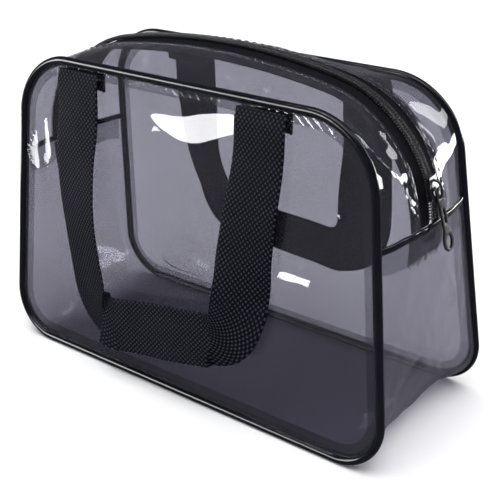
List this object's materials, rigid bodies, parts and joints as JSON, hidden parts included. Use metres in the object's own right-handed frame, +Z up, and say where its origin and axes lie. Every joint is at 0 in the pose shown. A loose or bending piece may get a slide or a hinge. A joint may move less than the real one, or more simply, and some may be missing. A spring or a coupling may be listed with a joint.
{
  "type": "makeup bag",
  "caption": "Clear zip-top cosmetics bag with tilted see-through panels, black piping, a domed zip gusset and webbing handles.",
  "frame": {"origin": "on the surface the bag stands on, under the middle of its flat base", "axes": "+X along the bag's width towards the closed end of the zip, -Y out of the front panel, +Z up"},
  "size_m": [0.281, 0.1161, 0.2024],
  "materials": {
    "clear_pvc": "clear smoke-grey glossy PVC sheet",
    "black_pvc": "glossy black PVC piping and binding",
    "webbing": "woven black webbing, fibre not known",
    "zip_tape": "black woven tape, fibre not known",
    "zip_coil": "black nylon coil, satin",
    "black_metal": "black coated metal, semi-gloss, metal not known"
  },
  "bodies": {
    "bag_lower": {"base_gusset": "clear_pvc", "front_panel_lower": "clear_pvc", "back_panel_lower": "clear_pvc", "front_piping_lower": "black_pvc", "back_piping_lower": "black_pvc", "right_seam_binding": "black_pvc", "left_seam_binding": "black_pvc", "right_seam_allowance": "clear_pvc", "left_seam_allowance": "clear_pvc", "right_zip_tail": "zip_tape", "left_zip_tail": "zip_tape"},
    "front_half": {"front_panel_upper": "clear_pvc", "front_piping_upper": "black_pvc", "front_zip_strip": "clear_pvc", "front_zip_tape": "zip_tape", "front_zip_coil": "zip_coil", "front_handle_end_left": "webbing", "front_handle_end_right": "webbing"},
    "back_half": {"back_panel_upper": "clear_pvc", "back_piping_upper": "black_pvc", "back_zip_strip": "clear_pvc", "back_zip_tape": "zip_tape", "back_zip_coil": "zip_coil", "back_handle_end_left": "webbing", "back_handle_end_right": "webbing"},
    "slider": {"slider_body": "black_metal"},
    "pull": {"pull_tab": "black_metal"},
    "front_strap": {"front_handle": "webbing"},
    "back_strap": {"back_handle": "webbing"},
    "front_strap_root": {"front_handle_root_left": "webbing", "front_handle_root_right": "webbing"},
    "back_strap_root": {"back_handle_root_left": "webbing", "back_handle_root_right": "webbing"}
  },
  "joints": [
    {"name": "front_mouth", "type": "hinge", "parent": "bag_lower", "child": "front_half", "pos_m": [0, -0.0467, 0.1243], "axis": [1, 0, 0], "range_deg": [0, 20], "deforming": ["front_zip_tape", "front_zip_coil"]},
    {"name": "back_mouth", "type": "hinge", "parent": "bag_lower", "child": "back_half", "pos_m": [0, 0.0467, 0.1243], "axis": [-1, 0, 0], "range_deg": [0, 20], "deforming": ["back_zip_tape", "back_zip_coil"]},
    {"name": "slider_run", "type": "hinge", "parent": "back_half", "child": "slider", "pos_m": [0.06266, 0, 0.12308], "axis": [0, -1, 0], "range_deg": [0, 60]},
    {"name": "pull_swing", "type": "hinge", "parent": "slider", "child": "pull", "pos_m": [0.13643, 0, 0.14423], "axis": [0, -1, 0], "range_deg": [0, 165]},
    {"name": "front_root_shift", "type": "slide", "parent": "bag_lower", "child": "front_strap_root", "axis": [0, -1, 0], "range_m": [0, 0.0205]},
    {"name": "front_handle_swing", "type": "hinge", "parent": "front_strap_root", "child": "front_strap", "pos_m": [0, -0.04534, 0.17575], "axis": [-1, 0, 0], "range_deg": [0, 178]},
    {"name": "back_root_shift", "type": "slide", "parent": "bag_lower", "child": "back_strap_root", "axis": [0, 1, 0], "range_m": [0, 0.0205]},
    {"name": "back_handle_swing", "type": "hinge", "parent": "back_strap_root", "child": "back_strap", "pos_m": [0, 0.04534, 0.17575], "axis": [1, 0, 0], "range_deg": [0, 178]}
  ],
  "couplings": [
    {"joint": "front_root_shift", "follows": "front_mouth", "m_per_rad": 0.0584},
    {"joint": "back_root_shift", "follows": "back_mouth", "m_per_rad": 0.0584}
  ]
}
